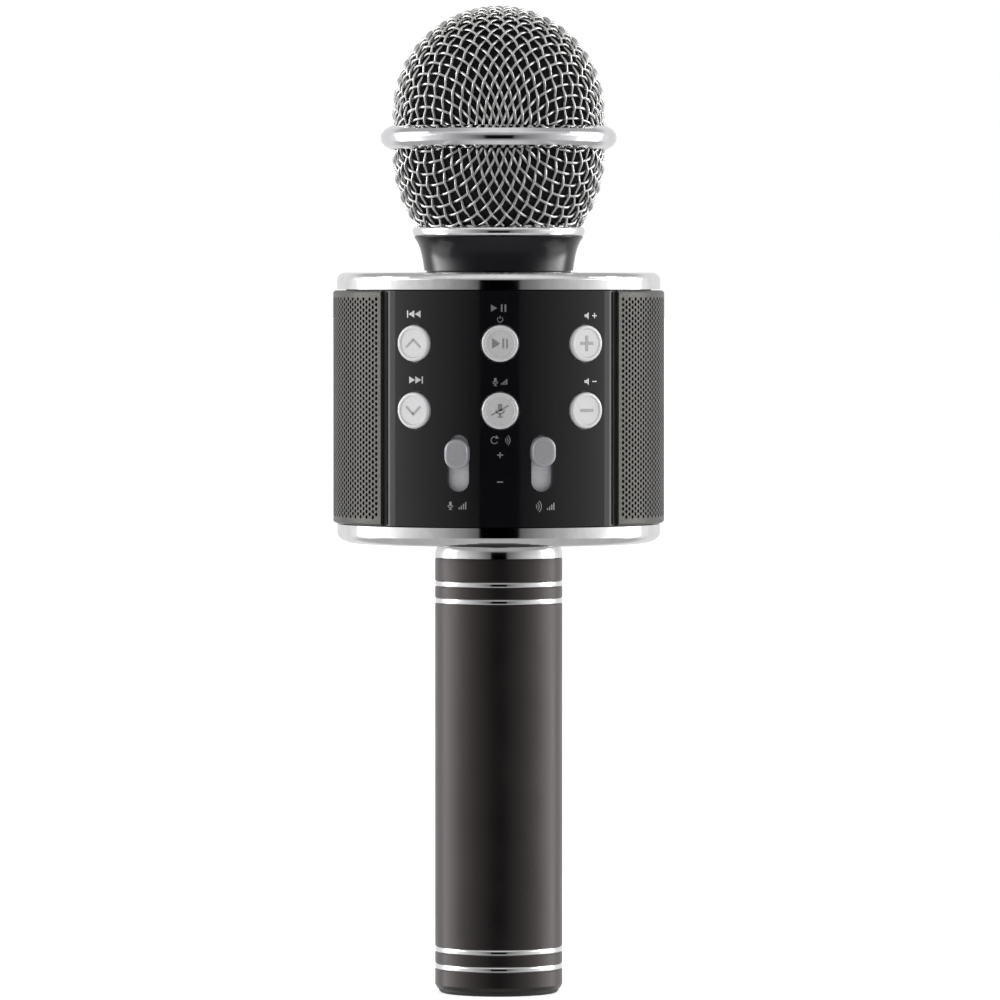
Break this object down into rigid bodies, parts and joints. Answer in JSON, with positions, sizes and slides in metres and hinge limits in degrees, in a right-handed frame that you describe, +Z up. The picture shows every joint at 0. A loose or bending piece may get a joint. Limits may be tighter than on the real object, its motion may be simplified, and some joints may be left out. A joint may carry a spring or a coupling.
{
  "type": "karaoke microphone",
  "caption": "Handheld wireless karaoke microphone with a woven ball head on a speaker drum with push buttons and sliders, standing on a round battery handle.",
  "frame": {"origin": "middle of the flat end face of the handle, on which the microphone stands", "axes": "+Z runs up the handle to the ball head, -Y is the side with the push buttons, +X is the viewer's right when facing the buttons"},
  "size_m": [0.0838, 0.0851, 0.25],
  "materials": {
    "wire_mesh": "bright woven steel wire",
    "plated_trim": "bright plated plastic",
    "black_foam": "open-cell black foam",
    "neck_satin": "satin black moulding",
    "black_rubber": "soft black rubber",
    "capsule_metal": "turned aluminium can",
    "wire_insulation": "coloured PVC insulation",
    "frame_plastic": "fine-grained black moulding",
    "panel_gloss": "piano-black gloss",
    "grille_metal": "dark olive-grey lacquered expanded metal",
    "speaker_steel": "pressed steel, dark zinc finish",
    "ferrite": "sintered ferrite and steel plates",
    "speaker_paper": "pressed black paper",
    "speaker_rubber": "moulded rubber roll and doped cloth",
    "screw_steel": "zinc-plated steel",
    "board_green": "green solder mask",
    "component_black": "moulded epoxy and sleeved cans",
    "flex_amber": "amber polyimide film",
    "switch_metal": "stamped steel shell",
    "light_pipe": "clear acrylic",
    "jack_plastic": "black moulding",
    "button_silver": "satin silver plating on plastic",
    "knob_grey": "metallic grey lacquer on plastic",
    "handle_black": "satin black anodised tube",
    "battery_wrap": "blue shrink sleeve",
    "contact_gold": "gold-plated spring metal"
  },
  "bodies": {
    "housing": {"neck_collar": "neck_satin", "capsule_mount": "black_rubber", "mic_capsule": "capsule_metal", "capsule_leads": "wire_insulation", "top_cap": "plated_trim", "bottom_cap": "plated_trim", "drum_frame": "frame_plastic", "frame_lid": "frame_plastic", "front_panel": "panel_gloss", "rear_panel": "panel_gloss", "left_grille": "grille_metal", "right_grille": "grille_metal", "left_speaker_basket": "speaker_steel", "left_speaker_magnet": "ferrite", "left_speaker_suspension": "speaker_rubber", "right_speaker_basket": "speaker_steel", "right_speaker_magnet": "ferrite", "right_speaker_suspension": "speaker_rubber", "speaker_leads": "wire_insulation", "speaker_screws": "screw_steel", "case_screws": "screw_steel", "main_board": "board_green", "board_parts": "component_black", "key_flex": "flex_amber", "rear_key_boards": "board_green", "tact_switches": "component_black", "slide_pots": "switch_metal", "power_switch": "switch_metal", "status_light": "light_pipe", "usb_socket": "switch_metal", "card_socket": "switch_metal", "charge_socket": "switch_metal", "audio_jack": "jack_plastic", "handle_collar": "plated_trim", "handle_tube": "handle_black", "handle_rings": "plated_trim", "handle_stub": "frame_plastic", "battery": "battery_wrap", "battery_holder": "frame_plastic", "battery_contacts": "contact_gold", "battery_leads": "wire_insulation", "end_cap": "frame_plastic"},
    "previous_button": {"previous_button": "button_silver"},
    "next_button": {"next_button": "button_silver"},
    "play_button": {"play_button": "button_silver"},
    "replay_button": {"replay_button": "button_silver"},
    "volume_up_button": {"volume_up_button": "button_silver"},
    "volume_down_button": {"volume_down_button": "button_silver"},
    "mode_button": {"mode_button": "button_silver"},
    "mic_volume_knob": {"mic_volume_knob": "knob_grey"},
    "echo_knob": {"echo_knob": "knob_grey"},
    "power_knob": {"power_knob": "knob_grey"},
    "left_cone": {"left_speaker_cone": "speaker_paper"},
    "right_cone": {"right_speaker_cone": "speaker_paper"},
    "screw_ring": {"head_base_ring": "plated_trim"},
    "grille_head": {"upper_mesh": "wire_mesh", "lower_mesh": "wire_mesh", "head_band": "plated_trim", "foam_liner": "black_foam"}
  },
  "joints": [
    {"name": "previous_press", "type": "slide", "parent": "housing", "child": "previous_button", "axis": [0.5135, 0.8581, 0], "range_m": [0, 0.0005], "stiffness_N_per_m": 350, "springref_m": -0.0001},
    {"name": "next_press", "type": "slide", "parent": "housing", "child": "next_button", "axis": [0.5135, 0.8581, 0], "range_m": [0, 0.0005], "stiffness_N_per_m": 350, "springref_m": -0.0001},
    {"name": "play_press", "type": "slide", "parent": "housing", "child": "play_button", "axis": [0, 1, 0], "range_m": [0, 0.0005], "stiffness_N_per_m": 350, "springref_m": -0.0001},
    {"name": "replay_press", "type": "slide", "parent": "housing", "child": "replay_button", "axis": [0, 1, 0], "range_m": [0, 0.0005], "stiffness_N_per_m": 350, "springref_m": -0.0001},
    {"name": "volume_up_press", "type": "slide", "parent": "housing", "child": "volume_up_button", "axis": [-0.5135, 0.8581, 0], "range_m": [0, 0.0005], "stiffness_N_per_m": 350, "springref_m": -0.0001},
    {"name": "volume_down_press", "type": "slide", "parent": "housing", "child": "volume_down_button", "axis": [-0.5135, 0.8581, 0], "range_m": [0, 0.0005], "stiffness_N_per_m": 350, "springref_m": -0.0001},
    {"name": "mode_press", "type": "slide", "parent": "housing", "child": "mode_button", "axis": [0.4067, -0.9135, 0], "range_m": [0, 0.0005], "stiffness_N_per_m": 350, "springref_m": -0.0001},
    {"name": "mic_volume_slide", "type": "slide", "parent": "housing", "child": "mic_volume_knob", "axis": [0, 0, 1], "range_m": [-0.0068, 0.0022]},
    {"name": "echo_slide", "type": "slide", "parent": "housing", "child": "echo_knob", "axis": [0, 0, 1], "range_m": [-0.0074, 0.0016]},
    {"name": "power_slide", "type": "slide", "parent": "housing", "child": "power_knob", "axis": [0, 0, 1], "range_m": [0, 0.0026]},
    {"name": "left_cone_travel", "type": "slide", "parent": "housing", "child": "left_cone", "axis": [-1, 0, 0], "range_m": [-0.0008, 0.0008], "stiffness_N_per_m": 200, "deforming": ["left_speaker_suspension"]},
    {"name": "right_cone_travel", "type": "slide", "parent": "housing", "child": "right_cone", "axis": [1, 0, 0], "range_m": [-0.0008, 0.0008], "stiffness_N_per_m": 200, "deforming": ["right_speaker_suspension"]},
    {"name": "head_rise", "type": "slide", "parent": "housing", "child": "screw_ring", "axis": [0, 0, 1], "range_m": [0, 0.0045]},
    {"name": "head_turn", "type": "hinge", "parent": "screw_ring", "child": "grille_head", "pos_m": [0, 0, 0.1918], "axis": [0, 0, 1], "range_deg": [0, 1080]}
  ],
  "couplings": [
    {"joint": "head_rise", "follows": "head_turn", "m_per_rad": 0.00023873}
  ]
}
